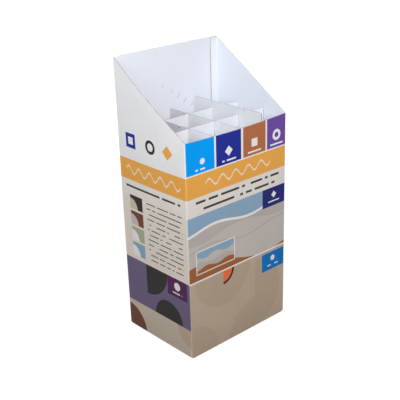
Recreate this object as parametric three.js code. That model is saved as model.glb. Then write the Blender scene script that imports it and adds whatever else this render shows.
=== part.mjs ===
// Counter display box of corrugated board: an open carton folded from one blank, whose side walls slope
// up from a low front to a high back, with a grid of slotted dividers standing on its base flaps.
// Millimetres, +Z up, the front faces -Y. The origin is the middle of the underside.
import * as THREE from "three";

// The carton, outside
const width = 400;
const depth = 294;
const frontHeight = 669;
const backHeight = 861;

// The board and the way it folds
const board = 3;
const creaseRadius = 1; // inside a fold
const foldSteps = 5; // facets round a quarter turn
const touchGap = 0.3; // between two faces that touch

// The glue flap, folded from the right wall and stuck inside the back wall
const glueFlapWidth = 30;
const glueFlapRise = 14; // how far its foot is above the foot of the right wall
const glueFlapTaper = 8; // how much higher still the foot is at its free edge
const seamSetback = 1.5; // from the corner to the cut edge of the back wall

// The base flaps: the side flaps fold in first, the front and back flaps close over them from below
const flapMeetingGap = 2;
const sideFlapSpacing = 110; // between the free edges of the two side flaps
const flapRelief = 4; // cut away between a fold of the walls and a flap
const flapTaper = 5; // how much each end of a flap draws in on its way

// What the free top edges have taken on in use
const leftWallBow = 6;
const rightWallBow = 1.7;
const bowFade = 3; // power by which a bow dies away towards the base
const dentDepth = 4.5; // in the top of the back wall, beside its left fold
const dentDrop = 2; // width of its steep side, at the fold
const dentRise = 22; // width of its gentle side

// The front-to-back dividers, and where the top edge of each is nicked, from its middle
const rightDividerLift = 20; // it isn't pushed home in its slots
const leftNick = -11;
const middleNick = 79;
const rightNick = -76;
const nickWidth = 9;
const nickDepth = 3;

// The dividers that cross them: how far each is off the even spacing, and how far its ends curl forward
const frontCrossShift = -2;
const frontCrossCurl = 7;
const rearCrossShift = 13;
const rearCrossCurl = 12;
const curlPower = 4; // how late the curl sets in

// How the dividers fit
const endClearance = 0.5; // between a divider and the wall
const slotClearance = 0.4; // on each side of the board in a slot
const slotLeadIn = 2; // chamfer at the mouth of a slot
const cornerMargin = 1; // by which a clipped corner clears the fold below it

// How finely the walls and the cross dividers follow their curves
const wallRows = 8;
const sideWallColumns = 10;
const bayColumns = 4;

const longDividers = [
  { name: "divider_left", lift: 0, nick: leftNick },
  { name: "divider_middle", lift: 0, nick: middleNick },
  { name: "divider_right", lift: rightDividerLift, nick: rightNick },
];
const crossDividers = [
  { name: "cross_divider_front", shift: frontCrossShift, curl: frontCrossCurl },
  { name: "cross_divider_rear", shift: rearCrossShift, curl: rearCrossCurl },
];

const halfWidth = width / 2;
const halfDepth = depth / 2;
const outerRadius = creaseRadius + board;
const layer = board + touchGap;
const floorTop = 2 * layer;
const cornerCut = creaseRadius + cornerMargin;
const slotWidth = board + 2 * slotClearance;
const dividerHeight = frontHeight - floorTop;
const longHalf = halfDepth - board - endClearance;
const crossHalf = halfWidth - board - endClearance;
const columnPitch = (width - 2 * board) / (longDividers.length + 1);
const rowPitch = (depth - 2 * board) / (crossDividers.length + 1);

const boardMaterial = new THREE.MeshStandardMaterial({ color: 0xe2e5ec, roughness: 0.8, metalness: 0 });
const printedMaterial = new THREE.MeshStandardMaterial({ color: 0xd8d9dd, roughness: 0.55, metalness: 0 });

// A bent board as one closed solid. It is a lattice of points, each with its place on either face.
class Sheet {
  constructor() {
    this.places = [];
    this.quads = [];
  }

  add(outer, inner) {
    this.places.push(outer, inner);
    return this.places.length / 2 - 1;
  }

  // Columns run left to right and list their points upwards, as seen from the outer face.
  addLattice(columns, isCut = () => false) {
    for (let i = 0; i + 1 < columns.length; i++) {
      const [left, right] = [columns[i], columns[i + 1]];
      for (let j = 0; j + 1 < left.length; j++) {
        if (!isCut(i, j)) this.quads.push([left[j], right[j], right[j + 1], left[j + 1]]);
      }
    }
  }

  toGeometry() {
    const outer = (point) => 2 * point;
    const inner = (point) => 2 * point + 1;
    const triangles = [];
    const edges = new Map();
    for (const [a, b, c, d] of this.quads) {
      triangles.push(outer(a), outer(b), outer(c), outer(a), outer(c), outer(d));
      triangles.push(inner(a), inner(c), inner(b), inner(a), inner(d), inner(c));
      for (const edge of [[a, b], [b, c], [c, d], [d, a]]) edges.set(edge.join(), edge);
    }
    for (const [from, to] of edges.values()) {
      if (edges.has([to, from].join())) continue;
      triangles.push(outer(to), outer(from), inner(from), outer(to), inner(from), inner(to));
    }
    const used = [...new Set(triangles)];
    const order = new Map(used.map((index, place) => [index, place]));
    const geometry = new THREE.BufferGeometry()
      .setFromPoints(used.map((index) => this.places[index]))
      .setIndex(triangles.map((index) => order.get(index)));
    geometry.computeVertexNormals();
    return geometry;
  }
}

// The walls are one walk round their outer face, anticlockwise from above, from station to station. A
// station has its place in plan, the way along the wall and the way in, the height of the wall's foot,
// how far its free edge bows outwards and how far that edge is crushed.
function straightStations(from, to, foot, { marks = [], bow = 0, dent = () => 0 } = {}) {
  const along = to.clone().sub(from);
  const length = along.length();
  along.normalize();
  const inward = new THREE.Vector2(-along.y, along.x);
  return [0, ...marks, length].map((mark) => ({
    place: from.clone().addScaledVector(along, mark),
    along,
    inward,
    foot: foot(mark / length),
    bow: bow * Math.sin((Math.PI * mark) / length),
    dent: dent(length - mark),
  }));
}

// A fold turns the walk left by a quarter turn. Its ends belong to the walls that it joins.
function foldStations(centre, startAngle, foot) {
  const stations = [];
  for (let step = 1; step < foldSteps; step++) {
    const share = step / foldSteps;
    const angle = startAngle + (share * Math.PI) / 2;
    const outward = new THREE.Vector2(Math.cos(angle), Math.sin(angle));
    stations.push({
      place: centre.clone().addScaledVector(outward, outerRadius),
      inward: outward.clone().negate(),
      foot: foot(share),
      bow: 0,
      dent: 0,
    });
  }
  return stations;
}

function topEdgeAt(y) {
  return frontHeight + ((backHeight - frontHeight) * (y + halfDepth)) / depth;
}

// The points of one station, from the foot of the wall to its top edge.
function wallColumn(sheet, { place, inward, foot, bow, dent }) {
  const column = [];
  const top = topEdgeAt(place.y) - dent;
  for (let row = 0; row <= wallRows; row++) {
    const share = row / wallRows;
    const z = foot + share * (top - foot);
    const outer = place.clone().addScaledVector(inward, -bow * share ** bowFade);
    const inner = outer.clone().addScaledVector(inward, board);
    column.push(sheet.add(new THREE.Vector3(outer.x, outer.y, z), new THREE.Vector3(inner.x, inner.y, z)));
  }
  return column;
}

// The points of a base flap below one station, from its free edge to the foot of the wall. The end share
// runs from -1 to 1 between the ends of the flap.
function flapColumn(sheet, { place, along, inward, foot }, flapLength, endShare, footPoint) {
  const pointAt = (reach, drop) => {
    const drawnIn = flapTaper * Math.max(0, (reach - outerRadius) / (flapLength - outerRadius));
    const plan = place.clone().addScaledVector(inward, reach).addScaledVector(along, -endShare * drawnIn);
    return new THREE.Vector3(plan.x, plan.y, foot - drop);
  };
  const column = [sheet.add(pointAt(flapLength, outerRadius), pointAt(flapLength, creaseRadius))];
  for (let step = foldSteps; step > 0; step--) {
    const angle = ((step / foldSteps) * Math.PI) / 2;
    const onArc = (radius) => pointAt(outerRadius - radius * Math.cos(angle), radius * Math.sin(angle));
    column.push(sheet.add(onArc(outerRadius), onArc(creaseRadius)));
  }
  column.push(footPoint);
  return column;
}

function foldedCarton() {
  const sheet = new Sheet();
  const columns = [];
  const seam = halfDepth - layer; // outer face of the glue flap
  const lowFoot = outerRadius;
  const highFoot = lowFoot + layer;
  const glueFoot = highFoot + glueFlapRise;
  const mainFlap = halfDepth - flapMeetingGap / 2;
  const sideFlap = halfWidth - sideFlapSpacing / 2;
  const at = (x, y) => new THREE.Vector2(x, y);
  const between = (start, end) => (share) => THREE.MathUtils.lerp(start, end, share);

  const addWall = (from, to, foot, flapReach, columnCount, { bow, dent, dentMarks = [] } = {}) => {
    const length = from.distanceTo(to);
    const flapWidth = length - 2 * flapRelief;
    const marks = dentMarks.map((mark) => length - mark);
    for (let k = 0; k <= columnCount; k++) marks.push(flapRelief + (k / columnCount) * flapWidth);
    marks.sort((a, b) => a - b);
    const stations = straightStations(from, to, () => foot, { marks, bow, dent });
    const wall = stations.map((station) => wallColumn(sheet, station));
    columns.push(...wall);
    const flap = [];
    [0, ...marks, length].forEach((mark, i) => {
      if (mark < flapRelief || mark > length - flapRelief) return;
      flap.push(flapColumn(sheet, stations[i], flapReach, (2 * mark - length) / flapWidth, wall[i][0]));
    });
    sheet.addLattice(flap);
  };
  const addFold = (centre, startAngle, foot) => {
    columns.push(...foldStations(centre, startAngle, foot).map((station) => wallColumn(sheet, station)));
  };
  const dent = (distance) =>
    dentDepth * Math.max(0, Math.min(distance / dentDrop, 1 - (distance - dentDrop) / dentRise));

  const left = -halfWidth + outerRadius;
  const right = halfWidth - outerRadius;
  const front = -halfDepth + outerRadius;
  const back = halfDepth - outerRadius;
  addWall(at(halfWidth - seamSetback, halfDepth), at(left, halfDepth), lowFoot, mainFlap, 1, {
    dent,
    dentMarks: [dentDrop, dentDrop + dentRise],
  });
  addFold(at(left, back), Math.PI / 2, between(lowFoot, highFoot));
  addWall(at(-halfWidth, back), at(-halfWidth, front), highFoot, sideFlap, sideWallColumns, {
    bow: leftWallBow,
  });
  addFold(at(left, front), Math.PI, between(highFoot, lowFoot));
  addWall(at(left, -halfDepth), at(right, -halfDepth), lowFoot, mainFlap, 1);
  addFold(at(right, front), -Math.PI / 2, between(lowFoot, highFoot));
  addWall(at(halfWidth, front), at(halfWidth, seam - outerRadius), highFoot, sideFlap, sideWallColumns, {
    bow: rightWallBow,
  });
  addFold(at(right, seam - outerRadius), 0, between(highFoot, glueFoot));
  const glueFlap = straightStations(
    at(right, seam),
    at(halfWidth - glueFlapWidth, seam),
    between(glueFoot, glueFoot + glueFlapTaper),
  );
  columns.push(...glueFlap.map((station) => wallColumn(sheet, station)));
  sheet.addLattice(columns);
  return sheet.toGeometry();
}

// Where the front-to-back dividers stand, and the line in plan that each cross divider takes.
const longPlaces = longDividers.map((_, k) => -halfWidth + board + (k + 1) * columnPitch);
const crossLines = crossDividers.map(({ shift, curl }, k) => {
  const middle = -halfDepth + board + (k + 1) * rowPitch + shift;
  return (x) => middle - curl * Math.abs(x / crossHalf) ** curlPower;
});

// A front-to-back divider is flat. Its slots open downwards, over the cross dividers.
function longDivider(x, nick) {
  const slotTop = (dividerHeight + touchGap) / 2;
  const shape = new THREE.Shape();
  shape.moveTo(-longHalf, cornerCut);
  shape.lineTo(-longHalf + cornerCut, 0);
  for (const lineAt of crossLines) {
    const [start, end] = [lineAt(x) - slotWidth / 2, lineAt(x) + slotWidth / 2];
    shape.lineTo(start - slotLeadIn, 0);
    shape.lineTo(start, slotLeadIn);
    shape.lineTo(start, slotTop);
    shape.lineTo(end, slotTop);
    shape.lineTo(end, slotLeadIn);
    shape.lineTo(end + slotLeadIn, 0);
  }
  shape.lineTo(longHalf - cornerCut, 0);
  shape.lineTo(longHalf, cornerCut);
  shape.lineTo(longHalf, dividerHeight);
  shape.lineTo(nick + nickWidth / 2, dividerHeight);
  shape.lineTo(nick, dividerHeight - nickDepth);
  shape.lineTo(nick - nickWidth / 2, dividerHeight);
  shape.lineTo(-longHalf, dividerHeight);
  shape.closePath();
  return new THREE.ExtrudeGeometry(shape, { depth: board, bevelEnabled: false });
}

// A cross divider is curled. Its slots open upwards, and its ends are cut parallel to the side walls.
function crossDivider(lineAt) {
  const sheet = new Sheet();
  const slotFoot = (dividerHeight - touchGap) / 2;
  const rows = [0, cornerCut, slotFoot, dividerHeight - slotLeadIn, dividerHeight];
  const bayEnds = [
    -crossHalf,
    ...longPlaces.flatMap((x) => [x - slotWidth / 2, x + slotWidth / 2]),
    crossHalf,
  ];
  const columns = [];
  for (let k = 0; k < bayEnds.length; k += 2) {
    for (let step = 0; step <= bayColumns; step++) {
      const straightX = THREE.MathUtils.lerp(bayEnds[k], bayEnds[k + 1], step / bayColumns);
      const awayFromEnd = Number(step === 0) - Number(step === bayColumns);
      const atWall = Math.abs(straightX) === crossHalf;
      columns.push(
        rows.map((z, row) => {
          let x = straightX;
          if (row === 0 && atWall) x += awayFromEnd * cornerCut;
          if (row === rows.length - 1 && !atWall) x += awayFromEnd * slotLeadIn;
          const slope = (lineAt(x + board / 2) - lineAt(x - board / 2)) / board;
          const half = (board / 2) * Math.hypot(1, slope);
          const y = lineAt(x);
          return sheet.add(new THREE.Vector3(x, y - half, z), new THREE.Vector3(x, y + half, z));
        }),
      );
    }
  }
  const isSlot = (i, j) => i % (bayColumns + 1) === bayColumns && rows[j] >= slotFoot;
  sheet.addLattice(columns, isSlot);
  return sheet.toGeometry();
}

function namedMesh(name, geometry, material) {
  const mesh = new THREE.Mesh(geometry, material);
  mesh.name = name;
  return mesh;
}

const box = new THREE.Group();
box.position.x = (leftWallBow - rightWallBow) / 2; // the bows count in the box's outer width
box.add(namedMesh("carton", foldedCarton(), printedMaterial));

longDividers.forEach(({ name, lift, nick }, k) => {
  const mesh = namedMesh(name, longDivider(longPlaces[k], nick), boardMaterial);
  mesh.quaternion.set(0.5, 0.5, 0.5, 0.5); // from its drawing, X to Y and Y to Z
  mesh.position.set(longPlaces[k] - board / 2, 0, floorTop + lift);
  box.add(mesh);
});

crossDividers.forEach(({ name }, k) => {
  const mesh = namedMesh(name, crossDivider(crossLines[k]), boardMaterial);
  mesh.position.z = floorTop;
  box.add(mesh);
});

const display = new THREE.Group();
display.add(box);

export default display;
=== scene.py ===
"""Looks of the counter display box: fluted board, printed walls, plain liner and the studio round them.

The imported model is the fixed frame. Each of its boards is shown by a finer board of the same size and
place, which has the flutes open to view along its cut edges, and the front's worn top edge. Sizes are
in millimetres, as they are in the part's source, and become metres when a mesh is made. A place on the
flat blank is given by x, from the front left fold along the front, and by z, upwards.
"""

import logging
import math
from dataclasses import dataclass, field
from enum import Enum, IntEnum
from typing import Callable, Optional, Sequence, Union

import bpy
from mathutils import Color, Euler, Matrix, Vector


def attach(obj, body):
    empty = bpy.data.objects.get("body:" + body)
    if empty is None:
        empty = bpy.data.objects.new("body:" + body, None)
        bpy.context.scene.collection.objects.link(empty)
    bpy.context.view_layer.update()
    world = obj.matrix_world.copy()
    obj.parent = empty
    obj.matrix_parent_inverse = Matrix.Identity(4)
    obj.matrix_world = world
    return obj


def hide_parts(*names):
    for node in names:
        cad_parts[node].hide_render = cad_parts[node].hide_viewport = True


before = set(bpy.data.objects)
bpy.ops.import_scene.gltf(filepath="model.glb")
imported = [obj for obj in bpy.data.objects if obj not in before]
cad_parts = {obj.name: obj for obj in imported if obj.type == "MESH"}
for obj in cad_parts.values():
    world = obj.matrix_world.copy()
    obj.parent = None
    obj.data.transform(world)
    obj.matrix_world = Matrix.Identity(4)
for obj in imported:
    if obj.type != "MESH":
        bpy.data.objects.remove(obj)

log = logging.getLogger("display_box")

MILLIMETRE = 0.001
SAME_PLACE = 1e-6
QUARTER_TURN = math.pi / 2
FULL_TURN = 2 * math.pi
BODY = "root"
FLAT_MAP = "flat_blank"

Colour = tuple[float, float, float, float]
Number = Union["Wire", float]

# The materials of a board's outer face, inner face, liner edge and core
Finishes = Sequence[bpy.types.Material]


def paint(red: int, green: int, blue: int) -> Colour:
    """A screen colour, 0 to 255 a channel, as the linear colour that a shader takes."""
    screen = Color((red / 255, green / 255, blue / 255))
    return (*screen.from_srgb_to_scene_linear(), 1.0)


class Slot(Enum):
    """The record's material slots."""

    PRINTED = "printed_board"
    PLAIN = "white_board"


class Face(IntEnum):
    """The parts of a board's surface, in the order of its material slots."""

    OUTER = 0
    INNER = 1
    LINER_EDGE = 2
    CORE = 3


class Flutes(Enum):
    """Which way the flutes of a board run on its lattice."""

    UPRIGHT = "along the columns"
    LEVEL = "along the rows"


class Cut(Enum):
    """How an edge was cut: across the flutes, which opens them, or along them."""

    ACROSS = "across"
    ALONG = "along"


# Sizes


@dataclass
class BoxSize:
    """The sizes that the carton and its dividers share."""

    width: float = 400.0
    depth: float = 294.0
    front_height: float = 669.0
    back_height: float = 861.0
    board: float = 3.0
    touch_gap: float = 0.3
    left_bow: float = 6.0
    right_bow: float = 1.7
    seam_loss: float = 2.0

    @property
    def layer(self) -> float:
        """A board and the gap to the next."""
        return self.board + self.touch_gap

    @property
    def floor_top(self) -> float:
        """The height at which the dividers stand."""
        return 2 * self.layer

    @property
    def shift(self) -> Vector:
        """From the box's own middle to the part's, because the bows count in its outer width."""
        return Vector(((self.left_bow - self.right_bow) / 2, 0, 0))

    @property
    def rise(self) -> float:
        """How much higher the back is than the front."""
        return self.back_height - self.front_height

    @property
    def side_end(self) -> float:
        """Where the right wall's print ends on the flat blank."""
        return self.width + self.depth

    @property
    def seam_fold(self) -> float:
        """About where the fold between the right wall and the glue flap lies on the flat blank."""
        return self.side_end - self.seam_loss

    def top_edge(self, y: float) -> float:
        """The height of the top edge of the walls."""
        return self.front_height + self.rise * (y + self.depth / 2) / self.depth


# Shader maths


@dataclass(frozen=True)
class Wire:
    """A socket that a shader graph can go on from. Arithmetic on it makes Math nodes."""

    graph: "Graph"
    socket: bpy.types.NodeSocket

    def _math(self, operation: str, *values: Number) -> "Wire":
        """A Math node."""
        return self.graph.node(
            "ShaderNodeMath", {"operation": operation}, dict(enumerate(values))
        )

    def __add__(self, other: Number) -> "Wire":
        """The sum."""
        return self._math("ADD", self, other)

    def __radd__(self, other: float) -> "Wire":
        """The sum, with the number first."""
        return self._math("ADD", other, self)

    def __sub__(self, other: Number) -> "Wire":
        """The difference."""
        return self._math("SUBTRACT", self, other)

    def __rsub__(self, other: float) -> "Wire":
        """The difference, taken from a number."""
        return self._math("SUBTRACT", other, self)

    def __mul__(self, other: Number) -> "Wire":
        """The product."""
        return self._math("MULTIPLY", self, other)

    def __rmul__(self, other: float) -> "Wire":
        """The product, with the number first."""
        return self._math("MULTIPLY", other, self)

    def __truediv__(self, other: Number) -> "Wire":
        """The quotient."""
        return self._math("DIVIDE", self, other)

    def __rtruediv__(self, other: float) -> "Wire":
        """The quotient of a number by the value."""
        return self._math("DIVIDE", other, self)

    def __abs__(self) -> "Wire":
        """The size without the sign."""
        return self._math("ABSOLUTE", self)

    def sine(self) -> "Wire":
        """The sine of an angle in radians."""
        return self._math("SINE", self)

    def floor(self) -> "Wire":
        """The whole number below."""
        return self._math("FLOOR", self)

    def wrapped(self) -> "Wire":
        """What is left above the whole number."""
        return self._math("FRACT", self)

    def above(self, level: float) -> "Wire":
        """1 where the value is above the level, else 0."""
        return self._math("GREATER_THAN", self, level)

    def at_least(self, other: Number) -> "Wire":
        """The larger of two values."""
        return self._math("MAXIMUM", self, other)

    def at_most(self, other: Number) -> "Wire":
        """The smaller of two values."""
        return self._math("MINIMUM", self, other)

    def spread(self, low: float, high: float, start: float = 0.0, end: float = 1.0) -> "Wire":
        """The value carried from one range to another, and held at its ends."""
        return self.graph.node(
            "ShaderNodeMapRange",
            {"clamp": True},
            {"Value": self, "From Min": low, "From Max": high, "To Min": start, "To Max": end},
        )


class Graph:
    """The shader graph of a material, or of the surroundings."""

    def __init__(self, owner: Union[bpy.types.Material, bpy.types.World]) -> None:
        """Takes over the owner's graph, with nothing in it.

        Args:
            owner: the material, or the surroundings.
        """
        owner.use_nodes = True
        self.owner = owner
        self.tree = owner.node_tree
        self.tree.nodes.clear()

    @classmethod
    def for_material(cls, name: str) -> "Graph":
        """The graph of a new material."""
        return cls(bpy.data.materials.new(name))

    def node(
        self,
        kind: str,
        settings: Optional[dict] = None,
        sockets: Optional[dict] = None,
        result: Union[int, str, None] = 0,
    ) -> Optional[Wire]:
        """Adds a node.

        Args:
            kind: the node's type.
            settings: its own settings, set before its sockets.
            sockets: what goes into each input, by name or place: a wire, a number or a colour.
            result: the output that is wanted, None for a node at the end of a graph.

        Returns:
            The wire from that output.
        """
        made = self.tree.nodes.new(kind)
        for name, value in (settings or {}).items():
            setattr(made, name, value)
        for key, value in (sockets or {}).items():
            if isinstance(value, Wire):
                self.tree.links.new(value.socket, made.inputs[key])
            else:
                made.inputs[key].default_value = value
        return None if result is None else Wire(self, made.outputs[result])

    def mix(
        self,
        share: Number,
        first: Union[Wire, Colour],
        second: Union[Wire, Colour],
        blend: str = "MIX",
    ) -> Wire:
        """The second colour over the first, by a share."""
        settings = {"data_type": "RGBA", "blend_type": blend}
        return self.node("ShaderNodeMix", settings, {0: share, 6: first, 7: second}, 2)

    def vector_math(
        self, operation: str, *values: Union[Wire, tuple], result: str = "Vector"
    ) -> Wire:
        """A Vector Math node. Its result is a vector, or the number that it calls Value."""
        settings = {"operation": operation}
        return self.node("ShaderNodeVectorMath", settings, dict(enumerate(values)), result)

    def axis(self, vector: Wire, name: str) -> Wire:
        """One axis of a vector."""
        return self.node("ShaderNodeSeparateXYZ", {}, {0: vector}, name)

    def noise(self, place: Wire, scale: float, detail: float = 2.0) -> Wire:
        """Soft noise, from 0 to 1."""
        sockets = {"Vector": place, "Scale": scale, "Detail": detail, "Roughness": 0.55}
        return self.node("ShaderNodeTexNoise", {"noise_dimensions": "3D"}, sockets)

    def paper_surface(
        self,
        colour: Wire,
        roughness: Wire,
        height: Wire,
        strength: float,
        distance: float,
        gloss: float,
    ) -> bpy.types.Material:
        """Ends the graph in the surface of a paper.

        Args:
            colour: its colour.
            roughness: its roughness.
            height: the relief of its fibres and flutes.
            strength: how much of the relief is felt.
            distance: how high, in metres, one unit of the relief is.
            gloss: the level of its sheen.

        Returns:
            The material.
        """
        relief = {"Height": height, "Strength": strength, "Distance": distance}
        sockets = {
            "Base Color": colour,
            "Roughness": roughness,
            "Normal": self.node("ShaderNodeBump", {}, relief),
            "Specular IOR Level": gloss,
        }
        return self.finish(self.node("ShaderNodeBsdfPrincipled", {}, sockets))

    def finish(self, shader: Wire) -> bpy.types.Material:
        """Joins the shader to the output."""
        self.node("ShaderNodeOutputMaterial", {}, {"Surface": shader}, None)
        return self.owner


# Print, in millimetres on the flat blank


class Canvas:
    """A board's face as it is coloured, one ink over another."""

    SOFT_EDGE = 0.15

    def __init__(self, graph: Graph, paper: Colour) -> None:
        """Starts with bare paper.

        Args:
            graph: the graph of the face's material.
            paper: the colour of the paper.
        """
        flat = graph.node("ShaderNodeUVMap", {"uv_map": FLAT_MAP})
        scale = {0: flat, "Scale": 1 / MILLIMETRE}
        self.graph = graph
        self.place = graph.node("ShaderNodeVectorMath", {"operation": "SCALE"}, scale)
        self.x = graph.axis(self.place, "X")
        self.z = graph.axis(self.place, "Y")
        self.colour: Union[Wire, Colour] = paper

    def inside(self, distance: Wire) -> Wire:
        """1 where a distance to an outline is negative, with a soft edge."""
        return distance.spread(self.SOFT_EDGE, -self.SOFT_EDGE)

    def distance(self, x: float, z: float) -> Wire:
        """The distance from a place on the blank."""
        return self.graph.vector_math("DISTANCE", self.place, (x, z, 0.0), result="Value")

    def ink(self, mask: Wire, colour: Union[Wire, Colour]) -> None:
        """Prints a colour where the mask is 1."""
        self.colour = self.graph.mix(mask, self.colour, colour)

    def wave(self, start: float, length: float, height: float) -> Wire:
        """The rise of a wave that starts at a place along the blank."""
        return ((self.x - start) * (FULL_TURN / length)).sine() * height


class Shape:
    """A shape printed in one ink."""

    colour: Colour

    def mask(self, canvas: Canvas) -> Wire:
        """1 inside the shape and 0 outside it."""
        raise NotImplementedError


@dataclass(frozen=True)
class Patch(Shape):
    """A plain rectangle. One without a colour only bounds other shapes."""

    left: float
    right: float
    low: float
    high: float
    colour: Optional[Colour] = None

    def mask(self, canvas: Canvas) -> Wire:
        """The rectangle.

        Args:
            canvas: the face it is printed on.

        Returns:
            1 inside it.
        """
        graph = canvas.graph
        centre = ((self.left + self.right) / 2, (self.low + self.high) / 2, 0.0)
        half = ((self.right - self.left) / 2, (self.high - self.low) / 2, 0.0)
        offset = graph.vector_math("ABSOLUTE", graph.vector_math("SUBTRACT", canvas.place, centre))
        beyond = graph.vector_math("SUBTRACT", offset, half)
        return canvas.inside(graph.axis(beyond, "X").at_least(graph.axis(beyond, "Y")))

    def cells(self, columns: int, rows: int) -> list["Patch"]:
        """Divides the rectangle evenly.

        Args:
            columns: how many cells lie side by side.
            rows: how many lie one over another.

        Returns:
            The cells, row by row from the bottom left.
        """
        wide = (self.right - self.left) / columns
        tall = (self.high - self.low) / rows
        corners = [
            (self.left + wide * column, self.low + tall * row)
            for row in range(rows)
            for column in range(columns)
        ]
        return [Patch(left, left + wide, low, low + tall) for left, low in corners]


@dataclass(frozen=True)
class Fade(Shape):
    """A rectangle whose colour thins out upwards. It carries the painted shade at the foot of the side
    walls.
    """

    whole: Patch
    full: float
    gone: float
    colour: Colour

    def mask(self, canvas: Canvas) -> Wire:
        """1 up to the height where the colour is full, and 0 from the height where it is gone."""
        return self.whole.mask(canvas) * canvas.z.spread(self.gone, self.full)


@dataclass(frozen=True)
class Disc(Shape):
    """A plain disc, or the part of it that falls on a patch."""

    x: float
    z: float
    radius: float
    colour: Colour
    within: Optional[Patch] = None

    def mask(self, canvas: Canvas) -> Wire:
        """1 inside the disc."""
        mask = canvas.inside(canvas.distance(self.x, self.z) - self.radius)
        return mask * self.within.mask(canvas) if self.within else mask


@dataclass(frozen=True)
class Lozenge(Shape):
    """A square that stands on its corner."""

    x: float
    z: float
    reach: float
    colour: Colour

    def mask(self, canvas: Canvas) -> Wire:
        """1 inside the lozenge."""
        return canvas.inside(abs(canvas.x - self.x) + abs(canvas.z - self.z) - self.reach)


@dataclass(frozen=True)
class Swell(Shape):
    """All that lies under a long wave, on a patch."""

    level: float
    height: float
    length: float
    start: float
    colour: Colour
    within: Patch

    def mask(self, canvas: Canvas) -> Wire:
        """1 under the wave."""
        crest = canvas.wave(self.start, self.length, self.height)
        return canvas.inside(canvas.z - self.level - crest) * self.within.mask(canvas)


@dataclass(frozen=True)
class WavyLine(Shape):
    """A wavy line along a band."""

    left: float
    right: float
    z: float
    length: float
    colour: Colour
    height: float = 11.0
    thickness: float = 5.5

    @property
    def whole(self) -> Patch:
        """The patch that the line crosses from end to end."""
        return Patch(self.left, self.right, self.z - self.length, self.z + self.length)

    def mask(self, canvas: Canvas) -> Wire:
        """1 on the line."""
        offset = canvas.z - self.z - canvas.wave(self.left, self.length, self.height)
        return canvas.inside(abs(offset) - self.thickness / 2) * self.whole.mask(canvas)


@dataclass(frozen=True)
class BarStyle:
    """How bars are drawn: how thick, in steps of what length, and what share of the steps is bare."""

    thickness: float
    step: float
    bare: float


@dataclass(frozen=True)
class BarBlock(Shape):
    """Rows of plain bars of uneven length."""

    left: float
    right: float
    low: float
    high: float
    style: BarStyle
    colour: Colour
    rows: int = 1

    def mask(self, canvas: Canvas) -> Wire:
        """The bars.

        Args:
            canvas: the face they are printed on.

        Returns:
            1 on them.
        """
        graph = canvas.graph
        pitch = (self.high - self.low) / self.rows
        up = (canvas.z - self.low) / pitch
        along = (canvas.x - self.left) / self.style.step
        cell = graph.node("ShaderNodeCombineXYZ", {}, {0: along.floor(), 1: up.floor(), 2: self.left})
        chance = graph.node(
            "ShaderNodeTexWhiteNoise", {"noise_dimensions": "3D"}, {"Vector": cell}, "Value"
        )
        row = canvas.inside(abs(up.wrapped() - 0.5) * pitch - self.style.thickness / 2)
        whole = Patch(self.left, self.right, self.low, self.high)
        return row * chance.above(self.style.bare) * whole.mask(canvas)


@dataclass(frozen=True)
class Inks:
    """The colours of the print."""

    paper: Colour = paint(238, 238, 240)
    bar_paper: Colour = paint(229, 225, 221)
    # Painted shade: warm tone for the lower part of the side walls' paper
    warm_shade: Colour = paint(231, 223, 213)
    bars: Colour = paint(66, 64, 66)
    band: Colour = paint(236, 171, 82)
    cream: Colour = paint(240, 228, 208)
    sky: Colour = paint(0, 161, 255)
    navy: Colour = paint(36, 47, 148)
    terracotta: Colour = paint(179, 111, 73)
    violet: Colour = paint(110, 77, 164)
    blue_grey: Colour = paint(140, 172, 200)
    pale_grey: Colour = paint(198, 192, 189)
    mid_grey: Colour = paint(186, 180, 178)
    chestnut: Colour = paint(160, 101, 65)
    taupe: Colour = paint(192, 175, 156)
    dark_taupe: Colour = paint(185, 168, 148)
    orange: Colour = paint(240, 118, 68)
    plum: Colour = paint(110, 100, 132)
    dark: Colour = paint(46, 43, 44)
    oat: Colour = paint(203, 193, 177)
    brown: Colour = paint(112, 70, 52)
    green: Colour = paint(168, 178, 150)
    navy_tag: Colour = paint(36, 42, 116)
    sky_tag: Colour = paint(12, 118, 200)
    violet_tag: Colour = paint(82, 38, 88)


@dataclass(frozen=True)
class SideSpan:
    """A side wall on the flat blank, measured back from its front fold."""

    fold: float
    way: int

    def spot(self, behind: float) -> float:
        """The place so far behind the front fold."""
        return self.fold + self.way * behind

    def between(self, near: float, far: float) -> tuple[float, float]:
        """The left and right ends of a span that starts and ends so far behind the front fold."""
        left, right = sorted((self.spot(near), self.spot(far)))
        return left, right


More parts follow.
